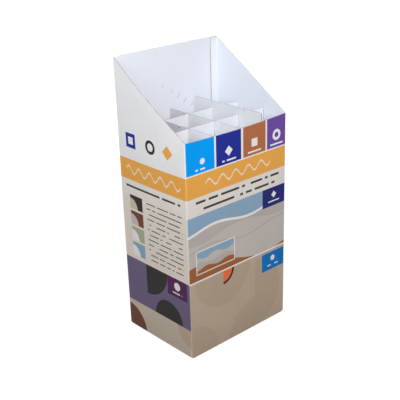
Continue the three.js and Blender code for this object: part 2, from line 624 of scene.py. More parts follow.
class PrintLayout:
    """Where the fields of the print lie on the flat blank."""

    BLEED = -3.0
    TILES = (574.0, 672.0)
    BAND = (505.0, 570.0)
    UPPER_FIELD = (248.0, 450.0)
    FIELD_LINE = (243.0, 249.0)
    LOWER_FIELD_TOP = 244.0
    ROUNDS_FOOT = -8.0
    ROUND_RADIUS = 112.0
    MARKS_HEIGHT = 628.0
    SIDE_PAPER_FOOT = 240.0
    TOP_SQUARE = 414.0
    SQUARE = 44.0
    SQUARE_PITCH = 51.0
    SIDE_FIELD = (96.0, 247.0)

    WIDE_BARS = BarStyle(7.0, 12.0, 0.16)
    SIDE_BARS = BarStyle(6.5, 11.0, 0.18)
    TILE_BARS = BarStyle(5.0, 9.0, 0.22)
    TAG_BARS = BarStyle(4.0, 8.0, 0.2)
    FINE_BARS = BarStyle(3.2, 8.0, 0.24)

    def __init__(self, size: BoxSize, inks: Inks) -> None:
        """Keeps the sizes and the inks."""
        self.size = size
        self.inks = inks

    def tiles(self) -> list[Shape]:
        """The row of colour tiles along the top of the front.

        Returns:
            The tiles, each with a plain white mark and a row of bars.
        """
        inks, white = self.inks, self.inks.paper
        shapes: list[Shape] = []
        for span, ink, mark, bars in (
            ((2, 107.5), inks.sky, Disc(62, 606, 9, white), (36, 84)),
            ((114, 211.5), inks.navy, Lozenge(163, 611, 15, white), (137, 191)),
            ((220, 312), inks.terracotta, Patch(254, 278, 599, 623, white), (239, 293)),
            ((318.5, 402), inks.violet, Disc(359, 612, 17, white), (332, 386)),
        ):
            row = BarBlock(*bars, 578, 590, self.TILE_BARS, white)
            shapes += [Patch(*span, *self.TILES, ink), mark, row]
        return [*shapes, Disc(359, 612, 8, inks.violet)]

    def band(self) -> list[Shape]:
        """The band round the front and the sides.

        Returns:
            The band, with a plain wavy line on each wall.
        """
        middle = sum(self.BAND) / 2
        return [
            Patch(-self.size.depth, self.size.side_end, *self.BAND, self.inks.band),
            WavyLine(72, 332, middle, 52, self.inks.cream),
            WavyLine(-262, -22, middle, 48, self.inks.cream),
            WavyLine(432, 672, middle, 48, self.inks.cream),
        ]

    def front_bars(self) -> list[Shape]:
        """Two rows of bars under the band."""
        ink = self.inks.bars
        return [
            Patch(0, self.size.width, self.UPPER_FIELD[1], self.BAND[0], self.inks.bar_paper),
            BarBlock(34, 376, 478, 500, self.WIDE_BARS, ink),
            BarBlock(62, 352, 455, 477, self.WIDE_BARS, ink),
        ]

    def upper_field(self) -> list[Shape]:
        """Long waves in blue grey, greys and chestnut on the front.

        Returns:
            The waves, a framed inset of smaller ones, and a navy tag.
        """
        inks = self.inks
        whole = Patch(0, self.size.width, *self.UPPER_FIELD, inks.blue_grey)
        inset = Patch(28, 182, 267, 341, inks.paper)
        inner = Patch(31, 179, 270, 338, inks.blue_grey)
        return [
            whole,
            Swell(404, 9, 270, 40, inks.paper, whole),
            Swell(396, 9, 270, 40, inks.mid_grey, whole),
            Swell(372, 12, 330, 120, inks.pale_grey, whole),
            Swell(343, 10, 290, 10, inks.mid_grey, whole),
            Swell(337, 10, 290, 10, inks.pale_grey, whole),
            Swell(272, 26, 520, -80, inks.chestnut, whole),
            inset,
            inner,
            Swell(318, 5, 84, 0, inks.pale_grey, inner),
            Swell(300, 5, 96, 20, inks.mid_grey, inner),
            Swell(284, 4, 84, 50, inks.chestnut, inner),
            Patch(300, 398, 390, 450, inks.navy_tag),
            Lozenge(349, 426, 11, inks.paper),
            BarBlock(325, 373, 400, 410, self.TAG_BARS, inks.paper),
        ]

    def lower_field(self) -> list[Shape]:
        """Quarter rounds in taupes on the front.

        Returns:
            The rounds, one orange accent with a dark rim, and a blue tag.
        """
        inks, top = self.inks, self.LOWER_FIELD_TOP
        width = self.size.width
        line = Patch(0, width, *self.FIELD_LINE, inks.paper)
        shapes: list[Shape] = [line, Patch(0, width, self.BLEED, top, inks.taupe)]
        cells = Patch(0, width, self.ROUNDS_FOOT, top).cells(3, 2)
        centres = ((0, 0), (1, 0), (0, 1), (1, 1), (0, 1), (0, 0))
        for cell, (at_right, at_top) in zip(cells, centres):
            x = cell.right if at_right else cell.left
            z = cell.high if at_top else cell.low
            shapes.append(Disc(x, z, self.ROUND_RADIUS, inks.dark_taupe, cell))
        accent = Patch(width / 3, width, self.BLEED, top)
        return [
            *shapes,
            Disc(accent.left, top, 44, inks.dark, accent),
            Disc(accent.left, top, 36, inks.orange, accent),
            Patch(298, 396, 176, 236, inks.sky_tag),
            Disc(346, 214, 9, inks.paper),
            BarBlock(322, 370, 186, 196, self.TAG_BARS, inks.paper),
        ]

    def side(self, wall: SideSpan) -> list[Shape]:
        """The print of a side wall.

        Args:
            wall: where the wall lies on the blank.

        Returns:
            The shapes in the order in which they are printed.
        """
        inks, marks_z = self.inks, self.MARKS_HEIGHT
        paper = Patch(*wall.between(0, self.size.depth), self.SIDE_PAPER_FOOT, self.BAND[0])
        grounds = (inks.dark, inks.brown, inks.green, inks.blue_grey)
        marks = (inks.oat, inks.pale_grey, inks.paper, inks.paper)
        squares: list[Shape] = []
        for step, (ground, mark) in enumerate(zip(grounds, marks)):
            low = self.TOP_SQUARE - self.SQUARE_PITCH * step
            square = Patch(*wall.between(196, 254), low, low + self.SQUARE, ground)
            squares += [square, Disc(wall.spot(254), low, 34, mark, square)]
        return [
            # Painted shade: the side paper is warmed towards its foot, fading out upwards
            Fade(paper, 430, 580, inks.warm_shade),
            Lozenge(wall.spot(70), marks_z, 21, inks.band),
            Disc(wall.spot(143), marks_z, 21, inks.dark),
            Disc(wall.spot(143), marks_z, 12, inks.paper),
            Patch(*wall.between(211, 255), marks_z - 22, marks_z + 22, inks.navy),
            Patch(*wall.between(222, 244), marks_z - 11, marks_z + 11, inks.paper),
            BarBlock(*wall.between(26, 268), 474, 496, self.SIDE_BARS, inks.bars),
            BarBlock(*wall.between(22, 176), 262, 458, self.FINE_BARS, inks.bars, rows=12),
            *squares,
            *self.side_field(wall),
        ]

    def side_field(self, wall: SideSpan) -> list[Shape]:
        """Rounds and fields in plum, dark, oat and brown at the foot of a side wall.

        Args:
            wall: where the wall lies on the blank.

        Returns:
            The shapes in the order in which they are printed.
        """
        inks = self.inks
        low, high = self.SIDE_FIELD
        whole = Patch(*wall.between(0, self.size.depth), low, high, inks.plum)
        foot = Patch(*wall.between(0, self.size.depth), self.BLEED, low, inks.oat)
        tag = Patch(*wall.between(12, 98), 186, high, inks.violet_tag)
        return [
            whole,
            foot,
            Disc(wall.spot(196), high, 98, inks.dark, Patch(*wall.between(98, 196), 148, high)),
            Disc(wall.spot(98), low, 62, inks.dark, whole),
            tag,
            Disc((tag.left + tag.right) / 2, 222, 13, inks.paper),
            BarBlock(tag.left + 22, tag.right - 22, 194, 204, self.TAG_BARS, inks.paper),
            Disc(wall.spot(self.size.depth), self.BLEED, 84, inks.brown, foot),
            Disc(wall.spot(0), low, 60, inks.taupe, foot),
        ]

    def shapes(self) -> list[Shape]:
        """All of the print, in the order in which it is laid down."""
        return [
            *self.band(),
            *self.tiles(),
            *self.front_bars(),
            *self.upper_field(),
            *self.lower_field(),
            *self.side(SideSpan(0.0, -1)),
            *self.side(SideSpan(self.size.width, 1)),
        ]


# Finishes


@dataclass(frozen=True)
class PrintedFace:
    """Coated white paper with its print, over flutes that show faintly through it."""

    size: BoxSize
    inks: Inks = field(default_factory=Inks)
    flute_pitch: float = 6.35
    roughness: float = 0.5
    clouds: float = 0.07
    grain: float = 0.1
    # Strength of the painted highlight along the folds
    fold_highlight: float = 0.08
    # Strength of the painted highlight along the sloping cuts
    lip_highlight: float = 0.75

    def material(self) -> bpy.types.Material:
        """Builds the material.

        Returns:
            The material.
        """
        graph = Graph.for_material("printed_face")
        canvas = Canvas(graph, self.inks.paper)
        for shape in PrintLayout(self.size, self.inks).shapes():
            canvas.ink(shape.mask(canvas), shape.colour)
        cloud = graph.noise(canvas.place, 0.012)
        grain = graph.noise(canvas.place, 1.3, 3)
        shade = paint(176, 170, 164)
        clouded = cloud.spread(0.3, 0.7, 0.0, self.clouds)
        toned = graph.mix(clouded, canvas.colour, shade, "MULTIPLY")
        speckled = graph.mix(grain.spread(0.35, 0.7, 0.0, self.grain), toned, shade, "MULTIPLY")
        ripple = (canvas.x * (FULL_TURN / self.flute_pitch)).sine()
        return graph.paper_surface(
            colour=self._lip_highlight(canvas, self._fold_highlight(canvas, speckled)),
            roughness=grain.spread(0.3, 0.7, self.roughness - 0.05, self.roughness + 0.1),
            height=ripple * 0.05 + grain * 0.02 + cloud * 0.6,
            strength=0.35,
            distance=0.001,
            gloss=0.08,
        )

    def _fold_highlight(self, canvas: Canvas, colour: Wire) -> Wire:
        """A painted highlight along the folds, pale and warm, with a ragged edge.

        Args:
            canvas: the printed face.
            colour: its colour so far.

        Returns:
            The colour with the painted highlight.
        """
        ragged_edge = canvas.graph.noise(canvas.place, 0.35, 4)
        nearest = abs(canvas.x)
        for fold in (-self.size.depth, self.size.width, self.size.seam_fold):
            nearest = nearest.at_most(abs(canvas.x - fold))
        line = (nearest - ragged_edge.spread(0.3, 0.75, 0.4, 3.2)).spread(0.8, -0.8)
        return canvas.graph.mix(line * self.fold_highlight, colour, paint(250, 246, 240))

    def _lip_highlight(self, canvas: Canvas, colour: Wire) -> Wire:
        """A painted highlight along the sloping cuts, where the face rolls over and catches the light.

        Args:
            canvas: the printed face.
            colour: its colour so far.

        Returns:
            The colour with the painted highlight.
        """
        size = self.size
        left_rise = canvas.x.spread(-size.depth, 0.0, size.rise, 0.0)
        right_rise = canvas.x.spread(size.width, size.seam_fold, 0.0, size.rise)
        below = left_rise + right_rise + size.front_height - canvas.z
        on_side = abs(canvas.x - size.width / 2).above(size.width / 2)
        lip_highlight = below.spread(3.4, 1.2) * on_side
        # Painted highlight: pure white just below the side walls' sloping cuts
        return canvas.graph.mix(lip_highlight * self.lip_highlight, colour, paint(255, 255, 255))


@dataclass(frozen=True)
class Dint:
    """A short straight dent: a dip in the relief with painted shade in it. It leans from upright,
    towards the start of the blank.
    """

    x: float
    z: float
    length: float
    width: float
    lean: float
    depth: float

    def mask(self, canvas: Canvas) -> Wire:
        """The mark.

        Args:
            canvas: the face that bears it.

        Returns:
            How deep it is, up to its own depth.
        """
        turn = math.radians(self.lean)
        sine, cosine = math.sin(turn), math.cos(turn)
        offset = canvas.graph.vector_math("SUBTRACT", canvas.place, (self.x, self.z, 0.0))
        along, across = (
            canvas.graph.vector_math("DOT_PRODUCT", offset, direction, result="Value")
            for direction in ((-sine, cosine, 0.0), (cosine, sine, 0.0))
        )
        trough = abs(across).spread(self.width, 0.0)
        ends = abs(along).spread(self.length / 2, self.length / 4)
        return trough * ends * self.depth


@dataclass(frozen=True)
class PlainLiner:
    """Uncoated white liner, with fibre, a faint washboard, a little cloudy dirt, and dints with painted
    shade in them.
    """

    name: str
    colour: Colour = paint(230, 232, 239)
    flute_pitch: float = 6.35
    flutes: Flutes = Flutes.UPRIGHT
    dints: tuple[Dint, ...] = ()
    # Colour of the painted shade in the dints
    dint_shade: Colour = paint(128, 130, 142)
    clouds: float = 0.1
    washboard: float = 0.05
    flecks: float = 0.12

    def material(self) -> bpy.types.Material:
        """Builds the material.

        Returns:
            The material.
        """
        graph = Graph.for_material(self.name)
        canvas = Canvas(graph, self.colour)
        across = canvas.x if self.flutes is Flutes.UPRIGHT else canvas.z
        cloud = graph.noise(canvas.place, 0.01, 3)
        fibre = graph.noise(canvas.place, 1.1, 4)
        ripple = (across * (FULL_TURN / self.flute_pitch)).sine()
        canvas.ink(cloud.spread(0.35, 0.7, 0.0, self.clouds), paint(222, 222, 224))
        canvas.ink(ripple.spread(-1, 1, 0.0, self.washboard), paint(214, 216, 222))
        canvas.ink(fibre.spread(0.62, 0.75, 0.0, self.flecks), paint(206, 202, 198))
        height = ripple * 0.05 + fibre * 0.04
        for dint in self.dints:
            mask = dint.mask(canvas)
            # Painted shade: each dint is darkened as well as sunk
            canvas.ink(mask, self.dint_shade)
            height = height - mask * 1.5
        return graph.paper_surface(
            colour=canvas.colour,
            roughness=fibre.spread(0.3, 0.7, 0.74, 0.88),
            height=height,
            strength=0.4,
            distance=0.001,
            gloss=0.1,
        )


@dataclass(frozen=True)
class CutPaper:
    """Paper seen at a cut edge.

    The cut edges of the carton's right and back walls carry a painted highlight, near white.
    """

    name: str
    size: BoxSize
    colour: Colour
    stain: Colour
    # Colour of the painted highlight on the right and back walls' cut edges
    lit_cut_colour: Colour = paint(240, 241, 246)
    lit_cut_share: float = 0.85

    # Where the painted highlight on the cut edges fades in, from the fold before each of the two walls
    right_fade: tuple[float, float] = (-6.0, 2.0)
    back_fade: tuple[float, float] = (12.0, 4.0)

    def material(self) -> bpy.types.Material:
        """Builds the material.

        Returns:
            The material.
        """
        graph = Graph.for_material(self.name)
        canvas = Canvas(graph, self.colour)
        place = graph.node("ShaderNodeTexCoord", {}, {}, "Object")
        speck = graph.noise(place, 900.0, 3)
        cloud = graph.noise(place, 35.0, 2)
        canvas.ink(cloud.spread(0.4, 0.7, 0.0, 0.6), self.stain)
        canvas.ink(speck.spread(0.45, 0.7, 0.0, 0.5), self.stain)
        before_seam = canvas.x.spread(self.size.side_end, self.size.seam_fold)
        on_right = (canvas.x - self.size.width).spread(*self.right_fade) * before_seam
        on_back = (canvas.x + self.size.depth).spread(*self.back_fade)
        # Painted highlight: the right and back walls' cut edges are painted near white
        canvas.ink(on_right.at_least(on_back) * self.lit_cut_share, self.lit_cut_colour)
        return graph.paper_surface(
            colour=canvas.colour,
            roughness=speck.spread(0.3, 0.7, 0.85, 0.95),
            height=speck,
            strength=0.3,
            distance=0.0004,
            gloss=0.2,
        )


# Board


@dataclass(frozen=True)
class BoardStock:
    """Single-wall corrugated board: two liners with a fluted layer between them."""

    thickness: float = 3.0
    liner: float = 0.35
    medium: float = 0.3
    flute_pitch: float = 6.35
    open_depth: float = 6.0
    groove_depth: float = 1.0

    # How the fluted layer swings between the liners, in six steps to a flute
    SWING = (1, 0, -1, -1, 0, 1)

    @property
    def step(self) -> float:
        """The way along the board from one step of a flute to the next."""
        return self.flute_pitch / len(self.SWING)

    @property
    def swing_reach(self) -> float:
        """How far the middle of the fluted layer swings from the middle of the board."""
        return self.thickness / 2 - self.liner - self.medium / 2


@dataclass(frozen=True)
class EdgeSide:
    """One side of a lattice cell that lies on the rim of the board."""

    start: int
    end: int
    cut: Cut
    behind_start: int
    behind_end: int


class Sheet:
    """A bent board as one closed mesh, on a lattice of points that each have a place on either face."""

    FOLD_TURN = math.radians(35)
    SHARP_TURN = math.radians(38)

    # Where the pockets on either side of the fluted layer start and end in a row of ten points
    POCKETS = ((1, 4), (5, 8))

    def __init__(self, stock: BoardStock, flutes: Flutes) -> None:
        """Starts with no points.

        Args:
            stock: the board.
            flutes: which way its flutes run on the lattice.
        """
        self.stock = stock
        self.flutes = flutes
        self.points: list[Vector] = []
        self.flats: list[tuple[float, float]] = []
        self.steps: list[int] = []
        self.cells: list[tuple[int, int, int, int]] = []
        self.faces: list[tuple[int, ...]] = []
        self.parts: list[Face] = []
        self.liner_points: dict[int, tuple[int, int]] = {}

    def add(self, outer: Vector, inner: Vector, flat: tuple[float, float], step: int) -> int:
        """Adds a lattice point.

        Args:
            outer: its place on the outer face.
            inner: its place on the inner face.
            flat: its place on the flat blank.
            step: its count across the flutes, which says where the fluted layer is.

        Returns:
            The number of the lattice point.
        """
        self.points += [outer, inner]
        self.flats += [flat, flat]
        self.steps.append(step)
        return len(self.steps) - 1

    def lattice(
        self,
        columns: Sequence[Sequence[int]],
        is_cut: Callable[[int, int], bool] = lambda column, row: False,
    ) -> None:
        """Joins lattice points into cells.

        Args:
            columns: the columns from left to right, each with its points upwards, seen from outside.
            is_cut: whether the cell to the right of a column and above a row is cut away.
        """
        for i, (left, right) in enumerate(zip(columns, columns[1:])):
            for j in range(len(left) - 1):
                if not is_cut(i, j):
                    self.cells.append((left[j], right[j], right[j + 1], left[j + 1]))

    def _rim(self) -> dict[int, EdgeSide]:
        """Finds the rim of the board.

        Returns:
            The sides of cells that have no neighbour, by the lattice point at which each starts.
        """
        sides: dict[tuple[int, int], EdgeSide] = {}
        upright = self.flutes is Flutes.UPRIGHT
        for cell in self.cells:
            for k in range(4):
                start, end = cell[k], cell[(k + 1) % 4]
                cut = Cut.ACROSS if (k % 2 == 0) == upright else Cut.ALONG
                sides[start, end] = EdgeSide(start, end, cut, cell[k - 1], cell[(k + 2) % 4])
        return {
            start: side for (start, end), side in sides.items() if (end, start) not in sides
        }

    def _new_point(self, place: Vector, flat: tuple[float, float]) -> int:
        """Adds a point of the mesh that isn't on the lattice.

        Args:
            place: where it is.
            flat: its place on the flat blank.

        Returns:
            The number of the point.
        """
        self.points.append(place)
        self.flats.append(flat)
        return len(self.points) - 1

    def _between(self, corner: int, depth: float) -> Vector:
        """The place under a lattice point, so deep from the outer face."""
        share = depth / self.stock.thickness
        return self.points[2 * corner].lerp(self.points[2 * corner + 1], share)

    def _liner_rims(self, corner: int) -> tuple[int, int]:
        """The points where the two liners end and the core begins.

        Args:
            corner: a lattice point on the rim.

        Returns:
            The point at the outer liner and the one at the inner liner.
        """
        if corner not in self.liner_points:
            flat = self.flats[2 * corner]
            depths = (self.stock.liner, self.stock.thickness - self.stock.liner)
            made = tuple(self._new_point(self._between(corner, d), flat) for d in depths)
            self.liner_points[corner] = made
        return self.liner_points[corner]

    def _rows(self, corner: int, cut: Cut, behind: int, is_open: bool) -> list[int]:
        """The points across the cut edge at a lattice point, from the outer face to the inner.

        Args:
            corner: the lattice point.
            cut: how the edge was cut.
            behind: the lattice point behind it, away from the edge.
            is_open: whether the flutes are open here, or closed as at the end of an edge.

        Returns:
            Ten points where the cut runs across the flutes, six where it runs along them.
        """
        stock = self.stock
        first, last = 2 * corner, 2 * corner + 1
        near, far = self._liner_rims(corner)
        if not is_open:
            middle = [near] * 4 + [far] * 4 if cut is Cut.ACROSS else [near, near, far, far]
            return [first, *middle, last]
        half = stock.thickness / 2
        inwards = (self._between(behind, half) - self._between(corner, half)).normalized()
        flat = self.flats[2 * corner]

        def sunk(point: int, depth: float) -> int:
            """A point below another, into the board."""
            return self._new_point(self.points[point] + inwards * depth, flat)

        if cut is Cut.ALONG:
            depth = stock.groove_depth
            return [first, near, sunk(near, depth), sunk(far, depth), far, last]
        swing = stock.SWING[self.steps[corner] % len(stock.SWING)]
        middle = half + swing * stock.swing_reach
        upper, lower = near, far
        near_floor, far_floor = sunk(near, stock.open_depth), sunk(far, stock.open_depth)
        upper_floor, lower_floor = near_floor, far_floor
        if swing > -1:
            upper = self._new_point(self._between(corner, middle - stock.medium / 2), flat)
            upper_floor = sunk(upper, stock.open_depth)
        if swing < 1:
            lower = self._new_point(self._between(corner, middle + stock.medium / 2), flat)
            lower_floor = sunk(lower, stock.open_depth)
        return [
            first, near, near_floor, upper_floor, upper,
            lower, lower_floor, far_floor, far, last,
        ]

    def _face(self, corners: Sequence[int], part: Face) -> None:
        """Adds a face, unless too few of its points are left.

        Args:
            corners: its points, of which those that fall together are taken once.
            part: which part of the surface it is.
        """
        kept = [c for k, c in enumerate(corners) if c != corners[k - 1]]
        if len(set(kept)) == len(kept) and len(kept) > 2:
            self.faces.append(tuple(kept))
            self.parts.append(part)

    def _close_rim(self) -> None:
        """Makes the faces of the cut edges."""
        rim = self._rim()
        before = {side.end: side for side in rim.values()}

        def is_open(corner: int) -> bool:
            """Whether the edge goes on through a lattice point with no fold in it.

            Args:
                corner: the lattice point.

            Returns:
                True where both of its sides are cut alike and turn little.
            """
            come, go = before[corner], rim[corner]
            if come.cut is not go.cut:
                return False
            here = self.points[2 * corner]
            arriving = here - self.points[2 * come.start]
            leaving = self.points[2 * go.end] - here
            return arriving.angle(leaving) < self.FOLD_TURN

        rows: dict[int, list[int]] = {}
        for corner, side in rim.items():
            if is_open(corner):
                rows[corner] = self._rows(corner, side.cut, side.behind_start, True)
        for side in rim.values():
            start, end = (
                rows[corner] if corner in rows else self._rows(corner, side.cut, behind, False)
                for corner, behind in ((side.start, side.behind_start), (side.end, side.behind_end))
            )
            skipped: set[int] = set()
            for near, far in self.POCKETS if side.cut is Cut.ACROSS else ():
                if start[near] == start[far] and end[near] == end[far]:
                    skipped |= set(range(near, far))
            last = len(start) - 2
            for k in range(last + 1):
                if k in skipped:
                    continue
                part = Face.LINER_EDGE if k in (0, last) else Face.CORE
                self._face((end[k], start[k], start[k + 1], end[k + 1]), part)

    def build(self, name: str, shift: Vector, finishes: Finishes) -> bpy.types.Object:
        """Makes the board as an object.

        Args:
            name: the object's name.
            shift: what is added to every place.
            finishes: its materials.

        Returns:
            The object, in metres.
        """
        for a, b, c, d in self.cells:
            self._face((2 * a, 2 * b, 2 * c, 2 * d), Face.OUTER)
            self._face((2 * a + 1, 2 * d + 1, 2 * c + 1, 2 * b + 1), Face.INNER)
        self._close_rim()
        used = sorted({corner for face in self.faces for corner in face})
        order = {corner: place for place, corner in enumerate(used)}
        mesh = bpy.data.meshes.new(name)
        mesh.from_pydata(
            [(self.points[corner] + shift) * MILLIMETRE for corner in used],
            [],
            [tuple(order[corner] for corner in face) for face in self.faces],
        )
        for finish in finishes:
            mesh.materials.append(finish)
        mesh.polygons.foreach_set("material_index", [int(part) for part in self.parts])
        flat_map = mesh.uv_layers.new(name=FLAT_MAP)
        flats = [
            share * MILLIMETRE
            for face in self.faces
            for corner in face
            for share in self.flats[corner]
        ]
        flat_map.uv.foreach_set("vector", flats)
        mesh.shade_smooth()
        mesh.set_sharp_from_angle(angle=self.SHARP_TURN)
        mesh.update()
        board = bpy.data.objects.new(name, mesh)
        bpy.context.scene.collection.objects.link(board)
        return board


def evenly(marks: Sequence[float], step: float) -> list[float]:
    """Places from mark to mark, as near to the step apart as fits.

    Args:
        marks: the places that have to be met, in order.
        step: the wanted distance between places.

    Returns:
        All the places in order, the marks among them.
    """
    places = [marks[0]]
    for start, end in zip(marks, marks[1:]):
        count = max(1, round((end - start) / step))
        places += [start + (end - start) * k / count for k in range(1, count + 1)]
    return places


# The carton


@dataclass
class Station:
    """A place on the walk round the outer face of the walls."""

    place: Vector
    inward: Vector
    along: Vector
    foot: float
    flat: float
    bow: float = 0.0
    dent: float = 0.0

    def at(self, inwards: float, onwards: float, z: float) -> Vector:
        """The place so far in from the outer face and so far on along the wall, at a height."""
        place = self.place + self.inward * inwards + self.along * onwards
        return Vector((place.x, place.y, z))


@dataclass
class Carton:
    """The carton, folded from one blank: four walls, a glue flap and four base flaps."""

    size: BoxSize
    stock: BoardStock
    finishes: Finishes
    crease_radius: float = 1.0
    fold_steps: int = 5
    glue_flap_width: float = 30.0
    glue_flap_rise: float = 14.0
    glue_flap_taper: float = 8.0
    seam_setback: float = 1.5
    flap_meeting_gap: float = 2.0
    side_flap_spacing: float = 110.0
    flap_relief: float = 4.0
    flap_taper: float = 5.0
    flap_rim: float = 8.0
    bow_fade: float = 3.0
    dent_depth: float = 4.5
    dent_drop: float = 2.0
    dent_rise: float = 22.0
    front_sag: float = 5.0
    wall_rows: int = 8

    def __post_init__(self) -> None:
        """Starts the sheet and the walk."""
        self.outer_radius = self.crease_radius + self.size.board
        self.sheet = Sheet(self.stock, Flutes.UPRIGHT)
        self.columns: list[list[int]] = []

    def _wall_column(self, station: Station) -> list[int]:
        """Adds the points of a wall at a station.

        Args:
            station: the place on the walk.

        Returns:
            The lattice points, from the wall's foot to its top edge.
        """
        top = self.size.top_edge(station.place.y) - station.dent
        column = []
        for row in range(self.wall_rows + 1):
            share = row / self.wall_rows
            z = station.foot + share * (top - station.foot)
            lean = station.bow * share**self.bow_fade
            outer, inner = station.at(-lean, 0, z), station.at(self.size.board - lean, 0, z)
            column.append(self.sheet.add(outer, inner, (station.flat, z), len(self.columns)))
        self.columns.append(column)
        return column

    def _flap_column(self, station: Station, reach: float, end_share: float, foot: int) -> list[int]:
        """The points of a base flap below a station, from its free edge to the foot of the wall.

        Args:
            station: the place on the wall.
            reach: how far the free edge is from the outer face of the wall.
            end_share: -1 to 1 from one end of the flap to the other.
            foot: the lattice point at the foot of the wall.

        Returns:
            The lattice points.
        """
        radius = self.outer_radius
        step = self.sheet.steps[foot]

        def point(inwards: float, drop: float) -> Vector:
            """The place so far in from the outer face of the wall and so far below its foot."""
            drawn_in = self.flap_taper * max(0.0, (inwards - radius) / (reach - radius))
            return station.at(inwards, -end_share * drawn_in, station.foot - drop)

        def flat(way: float) -> tuple[float, float]:
            """The place on the flat blank, so far below the foot of the wall."""
            return (station.flat, station.foot - way)

        fold_length = radius * QUARTER_TURN
        column = []
        for inwards in (reach, reach - self.flap_rim, (reach + radius) / 2):
            spot = flat(fold_length + inwards - radius)
            outer, inner = point(inwards, radius), point(inwards, self.crease_radius)
            column.append(self.sheet.add(outer, inner, spot, step))
        for k in range(self.fold_steps, 0, -1):
            angle = k / self.fold_steps * QUARTER_TURN
            outer, inner = (
                point(radius - r * math.cos(angle), r * math.sin(angle))
                for r in (radius, self.crease_radius)
            )
            column.append(self.sheet.add(outer, inner, flat(radius * angle), step))
        column.append(foot)
        return column

    def _wall(
        self,
        start: tuple[float, float],
        end: tuple[float, float],
        foot: float,
        flap_reach: float,
        flat: float,
        bow: float = 0.0,
        dented: bool = False,
        sag: float = 0.0,
    ) -> None:
        """Adds a wall and the base flap below it.

        Args:
            start: where the wall starts in plan.
            end: where it ends.
            foot: the height of its foot.
            flap_reach: how far its flap reaches in.
            flat: where it starts on the flat blank.
            bow: how far the middle of its top edge stands out.
            dented: whether its top edge is crushed beside the next fold.
            sag: how far the middle of its top edge is worn down.
        """
        origin = Vector((*start, 0))
        along = Vector((*end, 0)) - origin
        length = along.length
        along.normalize()
        inward = Vector((-along.y, along.x, 0))
        relief = self.flap_relief
        marks = {0.0, relief, length - relief, length}
        if dented:
            marks |= {length - self.dent_drop, length - self.dent_drop - self.dent_rise}
        flap: list[list[int]] = []
        for mark in evenly(sorted(marks), self.stock.step):
            arch = math.sin(math.pi * mark / length)
            station = Station(
                place=origin + along * mark,
                inward=inward,
                along=along,
                foot=foot,
                flat=flat + mark,
                bow=bow * arch,
                dent=sag * arch + (self._dent(length - mark) if dented else 0.0),
            )
            column = self._wall_column(station)
            if relief - SAME_PLACE <= mark <= length - relief + SAME_PLACE:
                end_share = (2 * mark - length) / (length - 2 * relief)
                flap.append(self._flap_column(station, flap_reach, end_share, column[0]))
        self.sheet.lattice(flap)

    def _dent(self, distance: float) -> float:
        """How far the top edge is crushed, so far from the fold."""
        fall = 1 - (distance - self.dent_drop) / self.dent_rise
        return self.dent_depth * max(0.0, min(distance / self.dent_drop, fall))

    def _fold(
        self,
        centre: tuple[float, float],
        start_angle: float,
        feet: tuple[float, float],
        flat: float,
    ) -> None:
        """Adds a fold of a quarter turn, between the walls whose ends it joins.

        Args:
            centre: the middle of the fold in plan.
            start_angle: where its outer face starts.
            feet: the height of the foot before it and after it.
            flat: where its middle is on the flat blank.
        """
        for k in range(1, self.fold_steps):
            share = k / self.fold_steps
            angle = start_angle + share * QUARTER_TURN
            outward = Vector((math.cos(angle), math.sin(angle), 0))
            self._wall_column(
                Station(
                    place=Vector((*centre, 0)) + outward * self.outer_radius,
                    inward=-outward,
                    along=Vector((-outward.y, outward.x, 0)),
                    foot=feet[0] + share * (feet[1] - feet[0]),
                    flat=flat + (2 * share - 1) * self.outer_radius,
                )
            )

    def build(self) -> bpy.types.Object:
        """Builds the folded carton in place of its CAD node.

        Returns:
            The carton.
        """
        size, radius = self.size, self.outer_radius
        half_width, half_depth = size.width / 2, size.depth / 2
        left, right = -half_width + radius, half_width - radius
        front, back = -half_depth + radius, half_depth - radius
        seam = half_depth - size.layer
        low_foot = radius
        high_foot = low_foot + size.layer
        glue_foot = high_foot + self.glue_flap_rise
        main_flap = half_depth - self.flap_meeting_gap / 2
        side_flap = half_width - self.side_flap_spacing / 2
        start = half_width - self.seam_setback
        behind = -size.depth
        seam_flat = size.width + seam + half_depth

        self._wall(
            (start, half_depth), (left, half_depth), low_foot, main_flap,
            behind - half_width - start, dented=True,
        )
        self._fold((left, back), QUARTER_TURN, (low_foot, high_foot), behind)
        self._wall(
            (-half_width, back), (-half_width, front), high_foot, side_flap,
            behind + radius, bow=size.left_bow,
        )
        self._fold((left, front), 2 * QUARTER_TURN, (high_foot, low_foot), 0.0)
        self._wall(
            (left, -half_depth), (right, -half_depth), low_foot, main_flap, radius,
            sag=self.front_sag,
        )
        self._fold((right, front), -QUARTER_TURN, (low_foot, high_foot), size.width)
        self._wall(
            (half_width, front), (half_width, seam - radius), high_foot, side_flap,
            size.width + radius, bow=size.right_bow,
        )
        self._fold((right, seam - radius), 0.0, (high_foot, glue_foot), seam_flat)
        self._glue_flap(right, seam, glue_foot, seam_flat + radius)
        self.sheet.lattice(self.columns)
        board = self.sheet.build("carton_board", size.shift, self.finishes)
        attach(board, BODY)
        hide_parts("carton")
        return board

    def _glue_flap(self, start: float, seam: float, foot: float, flat: float) -> None:
        """Adds the glue flap, whose foot rises to its free edge.

        Args:
            start: where it starts, from the box's middle.
            seam: how far its outer face is behind the box's middle.
            foot: the height of its foot at the fold.
            flat: where it starts on the flat blank.
        """
        end = self.size.width / 2 - self.glue_flap_width
        for x in evenly([-start, -end], self.stock.step):
            share = (x + start) / (start - end)
            self._wall_column(
                Station(
                    place=Vector((-x, seam, 0)),
                    inward=Vector((0, -1, 0)),
                    along=Vector((-1, 0, 0)),
                    foot=foot + share * self.glue_flap_taper,
                    flat=flat + x + start,
                )
            )


# The dividers


